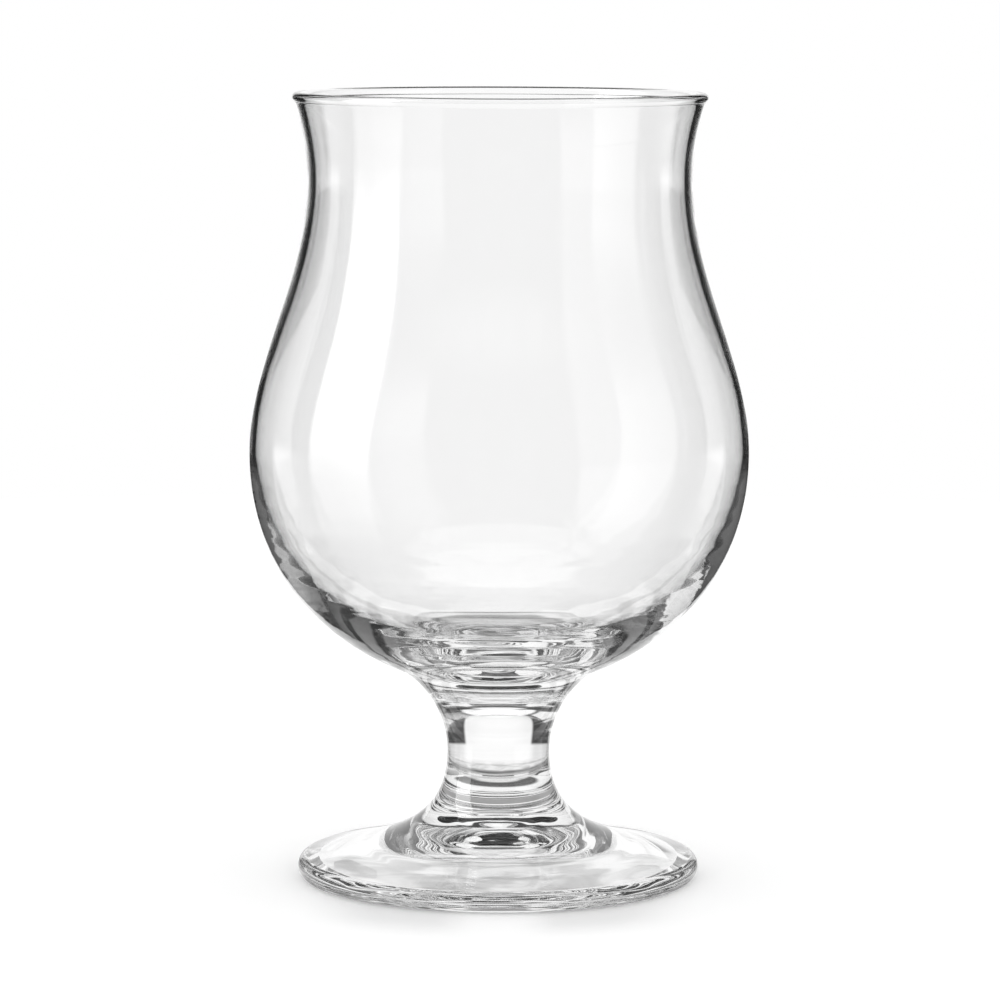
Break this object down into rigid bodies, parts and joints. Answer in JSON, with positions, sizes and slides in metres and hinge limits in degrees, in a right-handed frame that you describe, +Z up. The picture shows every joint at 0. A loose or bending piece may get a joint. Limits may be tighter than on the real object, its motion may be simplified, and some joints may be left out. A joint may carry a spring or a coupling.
{
  "type": "tasting glass",
  "caption": "Clear short-stemmed tulip tasting glass: a round bowl drawn in to a neck with a flared beaded rim, on a waisted solid stem and a low sloping round foot.",
  "frame": {"origin": "centre of the foot's resting ring, on the table", "axes": "+Z up along the glass's axis of revolution; the glass looks the same from every side, so X and Y are free"},
  "size_m": [0.0672, 0.0672, 0.106],
  "materials": {
    "bowl_glass": "clear blown glass, fire-polished",
    "stem_glass": "clear solid glass, fire-polished",
    "foot_glass": "clear pressed glass, fire-polished"
  },
  "bodies": {
    "root": {"bowl": "bowl_glass", "stem": "stem_glass", "foot": "foot_glass"}
  },
  "joints": []
}
